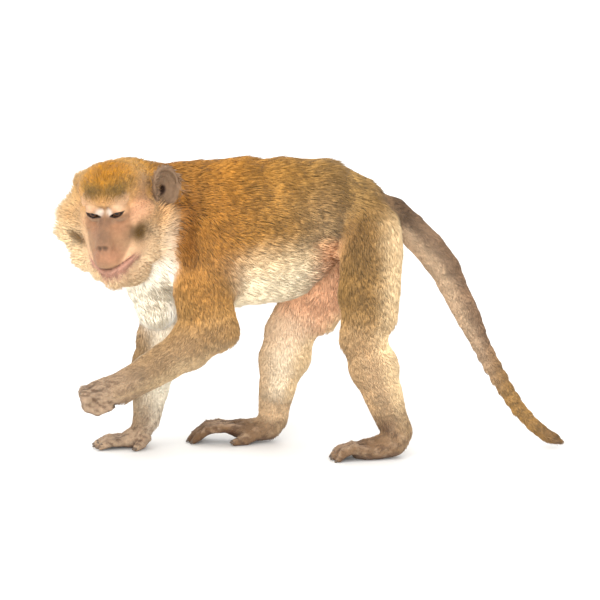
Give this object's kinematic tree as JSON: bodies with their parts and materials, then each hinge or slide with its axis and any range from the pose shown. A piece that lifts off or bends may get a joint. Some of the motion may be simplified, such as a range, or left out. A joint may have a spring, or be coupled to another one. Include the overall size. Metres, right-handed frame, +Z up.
{
  "type": "long-tailed macaque, walking, still model",
  "caption": "Life-size long-tailed (crab-eating) macaque walking on all fours with one hand lifted, face turned to its left and tail hanging behind",
  "frame": {"origin": "on the floor, under the middle of the whole animal's length and width", "axes": "the animal walks towards -X, its left side faces -Y, +Z is up and the floor is z = 0"},
  "size_m": [0.579, 0.167, 0.3479],
  "materials": {
    "coat_brown": "soft golden-brown fur, paler on the belly, matt with a faint sheen",
    "coat_grey": "short grey-brown fur of the lower limbs and tail, matt",
    "face_skin": "pink-brown bare skin of the face, framed by cream whiskers and an orange-brown cap",
    "ear_skin": "thin grey-brown skin with sparse short hair",
    "bare_skin": "grey-brown skin of the hands and feet, creased, darker on palms and soles",
    "eye": "wet dark brown iris under a clear cornea"
  },
  "bodies": {
    "root": {"head": "face_skin", "ear_left": "ear_skin", "ear_right": "ear_skin", "eye_left": "eye", "eye_right": "eye", "neck": "coat_brown", "chest": "coat_brown", "abdomen": "coat_brown", "pelvis": "coat_brown", "upper_arm_left": "coat_brown", "forearm_left": "coat_grey", "hand_left": "bare_skin", "upper_arm_right": "coat_brown", "forearm_right": "coat_grey", "hand_right": "bare_skin", "thigh_left": "coat_brown", "shank_left": "coat_grey", "foot_left": "bare_skin", "thigh_right": "coat_brown", "shank_right": "coat_grey", "foot_right": "bare_skin", "tail_1": "coat_grey", "tail_2": "coat_grey", "tail_3": "coat_grey", "tail_4": "coat_grey"}
  },
  "joints": []
}
